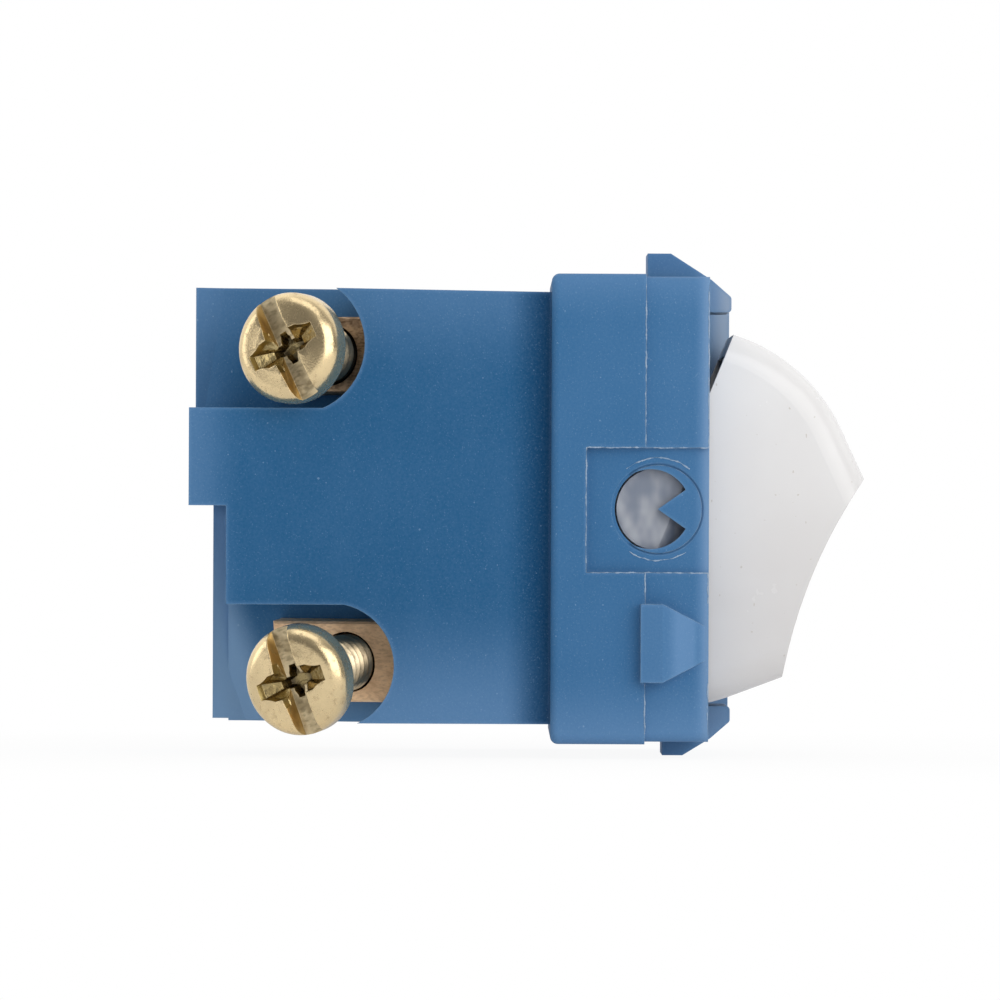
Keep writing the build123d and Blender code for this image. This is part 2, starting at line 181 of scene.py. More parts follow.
class ShaderBook(NodeBook):
    """Node helper for one material with a Principled shader."""

    def __init__(self, name: str) -> None:
        """Start an empty material.

        Args:
            name: The material's name.
        """
        self.material = bpy.data.materials.new(name)
        self.material.use_nodes = True
        super().__init__(self.material.node_tree)
        self.tree.nodes.clear()
        self.shader = self.add("ShaderNodeBsdfPrincipled")
        output = self.add("ShaderNodeOutputMaterial")
        self.link(self.shader.outputs[0], output.inputs[0])
        self.place = self.add("ShaderNodeTexCoord").outputs["Object"]

    def stretched(self, scale: Sequence[float], turn: Sequence[float] = (0, 0, 0)) -> Socket:
        """Object coordinates, turned and stretched.

        Args:
            scale: Repeats for each metre along each axis.
            turn: Turn about each axis, in degrees.

        Returns:
            The socket with the new coordinates.
        """
        turned = self.add("ShaderNodeMapping", {"Vector": self.place,
                                                "Rotation": [math.radians(a) for a in turn]})
        node = self.add("ShaderNodeMapping", {"Vector": turned.outputs[0], "Scale": scale})
        return node.outputs[0]

    def noise(self, size_mm: float, detail: float = 2.0, where: Socket | None = None,
              rough: float = 0.5) -> Socket:
        """Cloudy noise.

        Args:
            size_mm: Size of its largest clouds, in millimetres.
            detail: How many finer layers it has.
            where: Coordinates, if they are not plain object ones.
            rough: Strength of the finer layers.

        Returns:
            The socket with its value.
        """
        node = self.add("ShaderNodeTexNoise", {
            "Vector": where or self.place, "Scale": 1 / (size_mm * MM),
            "Detail": detail, "Roughness": rough})
        return node.outputs[0]

    def rounded_edges(self, radius_mm: float, low: float = 0.01,
                      high: float = 0.22) -> tuple[Socket, Socket]:
        """Normal with softened edges, and a mask of where they are.

        Args:
            radius_mm: Radius of the softened edge.
            low: Turn of the normal, as one less its cosine, at which the mask starts.
            high: The same where the mask is full.

        Returns:
            The normal's socket and the mask's.
        """
        bevel = self.add("ShaderNodeBevel", {"Radius": radius_mm * MM}, samples=6)
        face = self.add("ShaderNodeNewGeometry").outputs["True Normal"]
        likeness = self.add("ShaderNodeVectorMath", {0: bevel.outputs[0], 1: face},
                            operation="DOT_PRODUCT")
        mask = self.ramp(self.maths("SUBTRACT", 1.0, likeness.outputs["Value"]), low, high)
        return bevel.outputs[0], mask

    def openness(self, reach_mm: float, closed: float) -> Socket:
        """Share that falls from 1 in the open to 0 in a corner.

        Args:
            reach_mm: How near another surface counts.
            closed: Share of open sky at which it reaches 0.

        Returns:
            The socket with the share.
        """
        node = self.add("ShaderNodeAmbientOcclusion", {"Distance": reach_mm * MM}, samples=8)
        return self.ramp(node.outputs["AO"], closed, 0.95)

    def bump(self, height: Socket, depth_mm: float,
             normal: Socket | None = None) -> Socket:
        """Raise the surface by a height.

        Args:
            height: Socket with the height.
            depth_mm: What a height of 1 stands for.
            normal: Normal that it starts from.

        Returns:
            The new normal's socket.
        """
        inputs = {"Height": height, "Distance": depth_mm * MM}
        if normal is not None:
            inputs["Normal"] = normal
        return self.add("ShaderNodeBump", inputs).outputs[0]

    def finish(self, colour: object, **sockets: object) -> Material:
        """Set the shader's sockets.

        Args:
            colour: Base colour, as a socket or a constant.
            **sockets: The other sockets, with underscores for spaces.

        Returns:
            The finished material.
        """
        sockets["Base Color"] = colour
        for name, value in sockets.items():
            socket = self.shader.inputs[name.replace("_", " ")]
            if isinstance(value, Socket):
                self.link(value, socket)
            else:
                socket.default_value = value
        return self.material


class Axis(Enum):
    """What a drift runs along: the distance from the middle, Y or Z."""

    ACROSS = 0
    ALONG = 1
    UP = 2


class Tone(Enum):
    """Which painted tone a fade lays on a moulding: pale for painted light, deep for a painted shadow,
    and a paler tone for a painted glow.
    """

    PALE = "pale"
    DEEP = "deep"
    WORN = "worn"


@dataclass(frozen=True)
class Fade:
    """Drift of painted light or shade over a moulding along one axis, from nothing at the start to its
    share at the end.

    Both places are in millimetres. A gate is a second axis with its own start and end, and its share
    multiplies that of the drift.
    """

    axis: Axis
    start: float
    end: float
    share: float
    tone: Tone = Tone.PALE
    gate: tuple[Axis, float, float] | None = None


@dataclass(frozen=True)
class MouldedPlastic:
    """Satin moulded plastic: painted light and shade that drift towards its rims, a painted glow round
    its edges, painted highlights on its arrises, and real flow marks, grain and dust.
    """

    name: str
    colour: Colour
    # The deep colour is the tone of a painted shadow; the pale one serves painted light as well as real
    # mottling and flow marks.
    deep: Colour
    pale: Colour
    arris: Colour
    # The next colour is the pale tone of a painted glow that some fades lay on.
    worn: Colour = (0.46, 0.52, 0.60)
    fades: tuple[Fade, ...] = ()
    halo_mm: float = 0.42
    edge_mm: float = 0.06
    roughness: float = 0.42

    def material(self) -> Material:
        """Build the finish."""
        book = ShaderBook(self.name)
        x, y, z = book.add("ShaderNodeSeparateXYZ", {0: book.place}).outputs
        axes = {Axis.ACROSS: book.maths("ABSOLUTE", x), Axis.ALONG: y, Axis.UP: z}
        tones = {Tone.PALE: self.pale, Tone.DEEP: self.deep, Tone.WORN: self.worn}
        clouds = book.ramp(book.noise(6.0, 3.0), 0.3, 0.7)
        flow = book.ramp(book.noise(1.7, 4.0, book.stretched((1, 1, 0.4))), 0.35, 0.75)
        base = book.layer(self.colour, self.pale, book.maths("MULTIPLY", clouds, 0.05))
        base = book.layer(base, self.pale, book.maths("MULTIPLY", flow, 0.04))
        # Painted light and shade: each fade lays a paler tone, the deep tone of a painted shadow or the
        # tone of a painted glow over the base.
        for fade in self.fades:
            share = book.fade(axes[fade.axis], fade.start * MM, fade.end * MM)
            if fade.gate:
                axis, start, end = fade.gate
                share = book.maths("MULTIPLY", share, book.fade(axes[axis], start * MM, end * MM))
            base = book.layer(base, tones[fade.tone], book.maths("MULTIPLY", share, fade.share))
        # Painted glow: the pale tone in a band round every edge.
        _, halo = book.rounded_edges(self.halo_mm, 0.02, 0.3)
        base = book.layer(base, self.pale, book.maths("MULTIPLY", halo, 0.5))
        # Painted highlight: the arris colour in ragged patches along each edge, over the softened edge
        # normal.
        normal, edge = book.rounded_edges(self.edge_mm, 0.02, 0.2)
        worn = book.maths("MULTIPLY", edge, book.ramp(book.noise(0.5, 3.0), 0.25, 0.6))
        base = book.layer(base, self.arris, book.maths("MULTIPLY", worn, 0.8))
        grain = book.ramp(book.noise(0.13, 3.0, rough=0.7), 0.35, 0.7)
        base = book.layer(base, self.arris, book.maths("MULTIPLY", grain, 0.05))
        for size, low, share in ((0.075, 0.72, 0.14), (0.2, 0.82, 0.35)):
            dust = book.ramp(book.noise(size, 0.0), low, low + 0.06)
            base = book.layer(base, self.arris, book.maths("MULTIPLY", dust, share))
        normal = book.bump(book.noise(0.10, 2.0), 0.004, normal)
        normal = book.bump(flow, 0.012, normal)
        rough = book.maths("ADD", self.roughness, book.maths("MULTIPLY", clouds, 0.1))
        return book.finish(base, Roughness=rough, Normal=normal, IOR=1.5, Specular_IOR_Level=0.07)


@dataclass(frozen=True)
class GlossPlastic:
    """Glossy white plastic: painted light towards the top, painted shade towards the bottom and on the
    recessed pin ends, with dust specks and handling marks in its gloss.
    """

    name: str
    colour: Colour
    shade: Colour
    pin: Colour
    pivot_y: float = -5.46
    pin_r: float = 2.35
    pin_from: float = 11.2
    edge_mm: float = 0.07

    def on_pin(self, book: ShaderBook) -> Socket:
        """Mask of the two pin ends.

        Args:
            book: The material's nodes.

        Returns:
            A socket that is 1 on the pins.
        """
        flat = book.add("ShaderNodeVectorMath", {0: book.place, 1: (0, 1, 1)}, operation="MULTIPLY")
        away = book.add("ShaderNodeVectorMath", {0: flat.outputs[0], 1: (0, self.pivot_y * MM, 0)},
                        operation="DISTANCE").outputs["Value"]
        x = book.add("ShaderNodeSeparateXYZ", {0: book.place}).outputs[0]
        outer = book.maths("GREATER_THAN", book.maths("ABSOLUTE", x), self.pin_from * MM)
        return book.maths("MULTIPLY", outer, book.maths("LESS_THAN", away, self.pin_r * MM))

    def material(self) -> Material:
        """Build the finish."""
        book = ShaderBook(self.name)
        z = book.add("ShaderNodeSeparateXYZ", {0: book.place}).outputs[2]
        # Painted light and shade: from the shade colour at the bottom to the base colour at the top,
        # with random clouds.
        height = book.fade(z, -8.0 * MM, 7.5 * MM)
        clouds = book.ramp(book.noise(5.0, 2.0), 0.3, 0.7)
        level = book.maths("ADD", book.maths("MULTIPLY", height, 0.8),
                           book.maths("MULTIPLY", clouds, 0.2))
        base = book.layer(self.shade, self.colour, level)
        specks = book.ramp(book.noise(0.22, 0.0), 0.83, 0.86)
        base = book.layer(base, (0.45, 0.40, 0.33), book.maths("MULTIPLY", specks, 0.45))
        # Painted shade on the recessed pin ends: a dark bluish grey that stands for shade and blue
        # bounce light, lightened in random streaks.
        streaks = book.ramp(book.noise(1.5, 2.0, book.stretched((1, 1, 0.6))), 0.4, 0.7)
        pin = book.layer(self.pin, self.colour, book.maths("MULTIPLY", streaks, 0.35))
        base = book.layer(base, pin, self.on_pin(book))
        normal, _ = book.rounded_edges(self.edge_mm)
        normal = book.bump(book.noise(2.5, 3.0), 0.012, normal)
        rough = book.maths("ADD", 0.16, book.maths("MULTIPLY", book.noise(1.2, 4.0), 0.16))
        return book.finish(base, Roughness=rough, Normal=normal, IOR=1.49)


@dataclass(frozen=True)
class PlatedMetal:
    """Bright plating with a drifting tint, small stains and painted shade in its corners."""

    name: str
    colour: Colour
    tint: Colour
    stain: Colour
    roughness: float = 0.23
    edge_mm: float = 0.05
    corner_mm: float = 0.3
    closed: float = 0.2
    # The next colour is a painted shade for corners and crevices.
    grime: Colour = (0.09, 0.07, 0.045)
    grain_mm: float = 0.1
    grain_depth: float = 0.006
    metallic: float = 1.0

    def material(self) -> Material:
        """Build the finish."""
        book = ShaderBook(self.name)
        drift = book.ramp(book.noise(1.7, 3.0), 0.3, 0.7)
        base = book.layer(self.colour, self.tint, drift)
        marks = book.ramp(book.noise(0.35, 4.0, rough=0.65), 0.52, 0.74)
        base = book.layer(base, self.stain, book.maths("MULTIPLY", marks, 0.55))
        # Painted shade: the dark corner colour where the surface is closed in, in corners and crevices.
        base = book.layer(self.grime, base, book.openness(self.corner_mm, self.closed))
        normal, _ = book.rounded_edges(self.edge_mm)
        normal = book.bump(book.noise(self.grain_mm, 3.0), self.grain_depth, normal)
        rough = book.maths("ADD", self.roughness, book.maths("MULTIPLY", marks, 0.22))
        return book.finish(base, Roughness=rough, Normal=normal, Metallic=self.metallic)


@dataclass(frozen=True)
class RolledStrip:
    """Rolled metal strip with fine lines along its grain and darker stains."""

    name: str
    colour: Colour
    stain: Colour
    grain: tuple[float, float, float] = (1.0, 0.06, 1.0)
    roughness: float = 0.36
    line_mm: float = 0.07
    metallic: float = 1.0
    turn: tuple[float, float, float] = (0.0, 0.0, 0.0)

    def material(self) -> Material:
        """Build the finish."""
        book = ShaderBook(self.name)
        lines = book.noise(self.line_mm, 3.0, book.stretched(self.grain, self.turn))
        marks = book.ramp(book.noise(0.9, 4.0), 0.42, 0.72)
        base = book.layer(self.colour, self.stain, book.maths("MULTIPLY", marks, 0.6))
        base = book.layer(base, self.stain, book.maths("MULTIPLY", book.ramp(lines, 0.42, 0.66), 0.6))
        normal, _ = book.rounded_edges(0.04)
        normal = book.bump(lines, 0.02, normal)
        rough = book.maths("ADD", self.roughness, book.maths("MULTIPLY", marks, 0.15))
        return book.finish(base, Roughness=rough, Normal=normal, Metallic=self.metallic)


class Palette:
    """Every finish of the switch, made once."""

    def __init__(self) -> None:
        """Build the materials."""
        # Pale serves painted light and real mottling; arris serves painted edge highlights as well as
        # real grain and dust.
        pale, arris = (0.135, 0.272, 0.485), (0.30, 0.45, 0.62)
        across, along, up = Axis
        # Painted light and shade on the body: paler to the bottom, the top and the rear end, a painted
        # glow on the deep core below the middle, and a painted shadow beside the frame's step.
        body_fades = (Fade(up, -4.2, -11.6, 0.68), Fade(up, 6.5, 11.6, 0.36),
                      Fade(along, 15.6, 18.8, 0.45),
                      Fade(across, 5.8, 4.9, 0.65, Tone.WORN, gate=(up, 0.6, -0.6)),
                      Fade(along, 2.5, 0.4, 0.85, Tone.DEEP))
        # Painted light on the frame: paler to the bottom, the top and the front zone, lit side nubs and
        # nub slopes, a lit front edge, and a painted glow on the front edge and the lower tail.
        frame_fades = (Fade(up, -8.0, -12.8, 0.7), Fade(up, 9.4, 12.6, 0.45),
                       Fade(along, -4.4, -7.0, 0.1), Fade(across, 13.02, 13.3, 0.25),
                       Fade(across, 12.95, 13.1, 0.7, gate=(along, -5.9, -6.6)),
                       Fade(along, -7.2, -8.1, 0.9), Fade(along, -7.6, -8.1, 0.12, Tone.WORN),
                       Fade(along, -8.3, -9.2, 0.5, Tone.WORN, gate=(up, -9.0, -5.0)))
        # For the body the deep colour is a painted shadow and the colour after the arris one is the
        # painted glow on the core.
        self.body_blue = MouldedPlastic("moulded_blue_body", (0.017, 0.102, 0.238),
                                        (0.0, 0.050, 0.140), pale, arris, (0.26, 0.43, 0.66),
                                        body_fades).material()
        self.frame_blue = MouldedPlastic("moulded_blue_frame", (0.040, 0.145, 0.312),
                                         (0.018, 0.106, 0.262), pale, arris,
                                         fades=frame_fades).material()
        self.flash = MouldedPlastic("moulded_blue_flash", (0.25, 0.37, 0.52), (0.20, 0.32, 0.47),
                                    (0.36, 0.47, 0.60), (0.46, 0.55, 0.66)).material()
        # The rocker's second colour is painted shade at its bottom and its third colour painted shade on
        # the pin ends.
        self.white = GlossPlastic("gloss_white", (0.80, 0.79, 0.785), (0.65, 0.63, 0.62),
                                  (0.18, 0.21, 0.27)).material()
        self.plating = PlatedMetal("yellow_plating", (0.84, 0.66, 0.38), (0.70, 0.55, 0.32),
                                   (0.42, 0.31, 0.17), metallic=0.9).material()
        # Thread: a dark painted shade in its roots, through a higher closed share.
        self.thread = PlatedMetal("plating_thread", (0.70, 0.57, 0.38), (0.58, 0.45, 0.28),
                                  (0.22, 0.16, 0.10), roughness=0.3, closed=0.5,
                                  grime=(0.03, 0.022, 0.014)).material()
        # Slot and cross recess in darker copies of the plating: painted shade in the recesses, darkest
        # on the cross walls, with more painted shade in the corners of the cross floor.
        self.slot_wall = PlatedMetal("plating_slot_wall", (0.66, 0.50, 0.26), (0.56, 0.41, 0.19),
                                     (0.30, 0.21, 0.09), roughness=0.28).material()
        self.slot_floor = RolledStrip("plating_slot_floor", (0.66, 0.54, 0.34), (0.24, 0.19, 0.11),
                                      grain=(1.0, 0.2, 1.0), line_mm=0.18,
                                      turn=(25.0, 0.0, 0.0)).material()
        self.cross_wall = PlatedMetal("plating_cross_wall", (0.46, 0.36, 0.16), (0.36, 0.27, 0.10),
                                      (0.20, 0.14, 0.05), roughness=0.28).material()
        self.cross_floor = PlatedMetal("plating_cross_floor", (0.50, 0.39, 0.19), (0.36, 0.27, 0.12),
                                       (0.16, 0.11, 0.05), roughness=0.26, corner_mm=0.6, closed=0.3,
                                       grain_mm=0.3, grain_depth=0.03).material()
        # Terminal plates: a lit copy of the brass, bright and little metallic, for the load plates, and
        # a darker shaded copy with heavier real stains for the line plates in the upper pockets.
        self.brass = RolledStrip("rolled_brass", (1.0, 0.70, 0.43), (0.66, 0.42, 0.23),
                                 roughness=0.5, line_mm=0.12, metallic=0.3).material()
        self.aged_brass = RolledStrip("aged_brass", (0.52, 0.37, 0.24), (0.10, 0.06, 0.035),
                                      roughness=0.5, line_mm=0.12).material()
        self.copper = RolledStrip("rolled_copper", (0.72, 0.42, 0.28), (0.36, 0.18, 0.10),
                                  grain=(1.0, 1.0, 0.06)).material()
        self.silver = PlatedMetal("contact_silver", (0.86, 0.85, 0.82), (0.78, 0.77, 0.74),
                                  (0.45, 0.43, 0.40), roughness=0.34).material()
        self.spring = RolledStrip("spring_wire", (0.60, 0.60, 0.62), (0.34, 0.34, 0.35),
                                  grain=(1.0, 1.0, 1.0)).material()
        self.grey = MouldedPlastic("moulded_grey", (0.60, 0.60, 0.58), (0.55, 0.55, 0.53),
                                   (0.70, 0.70, 0.68), (0.75, 0.75, 0.73)).material()


def cad_node(name: str) -> Object:
    """The object of a CAD node."""
    return frame["nodes"][name]


def dress(obj: Object, material: Material) -> None:
    """Give an object one material.

    Args:
        obj: The object.
        material: Its finish.
    """
    obj.data.materials.clear()
    obj.data.materials.append(material)


def mesh_object(name: str, mesh: Mesh) -> Object:
    """Put a mesh in the scene as an object at the origin.

    Args:
        name: The object's name.
        mesh: Its mesh, in the frame's place.

    Returns:
        The new object.
    """
    obj = bpy.data.objects.new(name, mesh)
    bpy.context.scene.collection.objects.link(obj)
    return obj


def mesh_from(name: str, build: Callable[[BMesh], None], merge: float = 1e-7) -> Mesh:
    """Run a builder on an empty mesh.

    Args:
        name: The mesh's name.
        build: Function that fills it.
        merge: Distance in metres within which points become one.

    Returns:
        The mesh, with its faces pointing outwards.
    """
    bm = bmesh.new()
    build(bm)
    if merge:
        bmesh.ops.remove_doubles(bm, verts=bm.verts, dist=merge)
    bmesh.ops.recalc_face_normals(bm, faces=bm.faces)
    mesh = bpy.data.meshes.new(name)
    bm.to_mesh(mesh)
    bm.free()
    return mesh


def spun_mesh(name: str, outline: Iterable[tuple[float, float]], steps: int) -> Mesh:
    """Solid of revolution about Z.

    Args:
        name: The mesh's name.
        outline: Its half section as (radius, height), in millimetres.
        steps: Faces round the axis.

    Returns:
        The mesh.
    """
    def build(bm: BMesh) -> None:
        """Spin the half section."""
        verts = [bm.verts.new((r * MM, 0, z * MM)) for r, z in outline]
        edges = [bm.edges.new(pair) for pair in zip(verts, verts[1:])]
        bmesh.ops.spin(bm, geom=verts + edges, cent=(0, 0, 0), axis=(0, 0, 1),
                       angle=math.tau, steps=steps, use_merge=True)
    return mesh_from(name, build)


def evaluated_mesh(obj: Object) -> Mesh:
    """Plain mesh of an object with its modifiers applied."""
    graph = bpy.context.evaluated_depsgraph_get()
    return bpy.data.meshes.new_from_object(obj.evaluated_get(graph), depsgraph=graph)


def shade_by_angle(mesh: Mesh, degrees: float = 35.0) -> None:
    """Smooth a mesh except where its faces meet more sharply than an angle.

    Args:
        mesh: The mesh.
        degrees: The angle.
    """
    mesh.shade_smooth()
    mesh.set_sharp_from_angle(angle=math.radians(degrees))


class GeometryTree(NodeBook):
    """Geometry node tree with named inputs that ends in Realize Instances and Set Material."""

    def __init__(self, name: str, sizes: dict[str, float], counts: dict[str, int] | None = None) -> None:
        """Start a tree.

        Args:
            name: The tree's name.
            sizes: Named sizes with their defaults, in metres or plain numbers.
            counts: Named whole numbers with their defaults.
        """
        super().__init__(bpy.data.node_groups.new(name, "GeometryNodeTree"))
        face = self.tree.interface
        face.new_socket("Geometry", in_out="INPUT", socket_type="NodeSocketGeometry")
        self.sockets: dict[str, str] = {}
        kinds = [(sizes, "NodeSocketFloat"), (counts or {}, "NodeSocketInt")]
        for values, kind in kinds:
            for label, value in values.items():
                socket = face.new_socket(label, in_out="INPUT", socket_type=kind)
                socket.default_value = value
                self.sockets[label] = socket.identifier
        finish = face.new_socket("Finish", in_out="INPUT", socket_type="NodeSocketMaterial")
        self.sockets["Finish"] = finish.identifier
        face.new_socket("Geometry", in_out="OUTPUT", socket_type="NodeSocketGeometry")
        self.inputs = self.add("NodeGroupInput").outputs

    def close(self, geometry: Socket) -> None:
        """End the tree.

        Args:
            geometry: Socket with what it made.
        """
        real = self.add("GeometryNodeRealizeInstances", {0: geometry})
        painted = self.add("GeometryNodeSetMaterial", {"Geometry": real.outputs[0],
                                                       "Material": self.inputs["Finish"]})
        self.add("NodeGroupOutput", {0: painted.outputs[0]})

    def run(self, name: str, finish: Material, start: Mesh | None = None,
            **values: float) -> Mesh:
        """Make a plain mesh with the tree.

        Args:
            name: Name of the mesh.
            finish: Its material.
            start: Mesh that the tree works from, if it needs one.
            **values: Inputs to set, with underscores for spaces.

        Returns:
            The mesh.
        """
        holder = mesh_object(name, start or bpy.data.meshes.new(name + "_start"))
        modifier = holder.modifiers.new("tree", "NODES")
        modifier.node_group = self.tree
        modifier[self.sockets["Finish"]] = finish
        for label, value in values.items():
            modifier[self.sockets[label.replace("_", " ")]] = value
        mesh = evaluated_mesh(holder)
        holder.modifiers.clear()
        bpy.data.objects.remove(holder)
        return mesh


def thread_tree() -> GeometryTree:
    """Tree for a helical thread ridge that stands on a core along Z."""
    tree = GeometryTree("thread_ridge", {"Core Radius": 1.25 * MM, "Ridge": 0.25 * MM, "Height": 7 * MM,
                                         "Turns": 14.0}, {"Steps": 40})
    spiral = tree.add("GeometryNodeCurveSpiral", {
        "Resolution": tree.inputs["Steps"], "Rotations": tree.inputs["Turns"],
        "Start Radius": tree.inputs["Core Radius"], "End Radius": tree.inputs["Core Radius"],
        "Height": tree.inputs["Height"]})
    upright = tree.add("GeometryNodeSetCurveNormal", {"Curve": spiral.outputs[0]})
    upright.mode = "Z_UP"
    section = tree.add("GeometryNodeCurvePrimitiveCircle", {"Resolution": 4,
                                                            "Radius": tree.inputs["Ridge"]})
    ridge = tree.add("GeometryNodeCurveToMesh", {"Curve": upright.outputs[0],
                                                 "Profile Curve": section.outputs[0], "Fill Caps": True})
    tree.close(ridge.outputs[0])
    return tree


def flash_tree() -> GeometryTree:
    """Tree for a thin ragged ridge of flash along each line of a mesh."""
    tree = GeometryTree("flash_ridge", {"Step": 0.06 * MM, "Ridge": 0.05 * MM, "Wander": 0.12 * MM,
                                        "Wave": 2400.0})
    path = tree.add("GeometryNodeMeshToCurve", {"Mesh": tree.inputs["Geometry"]})
    fine = tree.add("GeometryNodeResampleCurve", {
        "Curve": path.outputs[0], "Length": tree.inputs["Step"]}, mode="LENGTH")
    cloud = tree.add("ShaderNodeTexNoise", {"Scale": tree.inputs["Wave"], "Detail": 3.0})
    centred = tree.add("ShaderNodeVectorMath", {0: cloud.outputs[1], 1: (0.5, 0.5, 0.5)},
                       operation="SUBTRACT")
    spread = tree.add("ShaderNodeVectorMath", {0: centred.outputs[0], 1: (0.0, 1.0, 1.0)},
                      operation="MULTIPLY")
    shift = tree.add("ShaderNodeVectorMath", {0: spread.outputs[0], "Scale": tree.inputs["Wander"]},
                     operation="SCALE")
    moved = tree.add("GeometryNodeSetPosition", {"Geometry": fine.outputs[0],
                                                 "Offset": shift.outputs[0]})
    chance = tree.add("FunctionNodeRandomValue", {"Seed": 7}, data_type="FLOAT")
    width = tree.maths("MULTIPLY", tree.ramp(cloud.outputs[0], 0.32, 0.62),
                       tree.maths("ADD", 0.5, tree.maths("MULTIPLY", chance.outputs[1], 0.6)))
    section = tree.add("GeometryNodeCurvePrimitiveCircle", {"Resolution": 5,
                                                            "Radius": tree.inputs["Ridge"]})
    ridge = tree.add("GeometryNodeCurveToMesh", {
        "Curve": moved.outputs[0], "Profile Curve": section.outputs[0],
        "Scale": tree.maths("MAXIMUM", width, 0.12), "Fill Caps": True})
    tree.close(ridge.outputs[0])
    return tree


@dataclass
class FrameFlash:
    """Flash that the mould left along the arrises of the front frame's side walls."""

    face_x: float = 13.0
    thin_x: float = 12.86
    floor_x: float = 12.6
    step_y: float = -4.83
    front_y: float = -8.04
    recess_y: float = -1.8
    recess_z: tuple[float, float] = (-3.25, 3.14)
    corner_z: float = 11.5
    nub_z: tuple[float, float] = (-8.9, -4.8)
    pivot_y: float = -5.46
    arc_r: float = 2.62

    def arc(self, middle: float, spread: float) -> list[tuple[float, float, float]]:
        """Points of an arc round the pivot hole, on the recess floor.

        Args:
            middle: Direction of its middle from +Y, in degrees.
            spread: Angle from its middle to each end, in degrees.

        Returns:
            Its points as (x, y, z) of the right wall.
        """
        steps = 12
        angles = [math.radians(middle + spread * (2 * i / steps - 1)) for i in range(steps + 1)]
        return [(self.floor_x, self.pivot_y + self.arc_r * math.cos(a), self.arc_r * math.sin(a))
                for a in angles]

    def lines(self) -> list[list[tuple[float, float, float]]]:
        """Polylines of the flash on the right wall."""
        low, high = self.recess_z
        below, above = self.nub_z
        found = [[(self.face_x, self.recess_y, low), (self.face_x, self.recess_y, high)],
                 self.arc(90.0, 38.0), self.arc(270.0, 34.0)]
        for z in (low, high):
            found.append([(self.face_x, self.recess_y, z), (self.face_x, self.step_y, z)])
            found.append([(self.thin_x, self.step_y, z), (self.thin_x, self.front_y, z)])
        for start, end in ((high, self.corner_z), (low, above), (below, -self.corner_z)):
            found.append([(self.face_x, self.step_y, start), (self.face_x, self.step_y, end)])
            found.append([(self.thin_x, self.front_y, start), (self.thin_x, self.front_y, end)])
        return found

    def build(self, tree: GeometryTree, material: Material) -> Object:
        """Make the flash of both side walls.

        Args:
            tree: Tree that makes a ridge along each line.
            material: Its finish.

        Returns:
            The flash.
        """
        def trace(bm: BMesh) -> None:
            """Draw every line on both walls."""
            for side in Side:
                for line in self.lines():
                    verts = [bm.verts.new((side.value * x * MM, y * MM, z * MM)) for x, y, z in line]
                    for pair in zip(verts, verts[1:]):
                        bm.edges.new(pair)
        ridges = tree.run("frame_flash", material, start=mesh_from("flash_lines", trace, 0.0))
        flash = mesh_object("frame_flash", ridges)
        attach(flash, "base")
        return flash


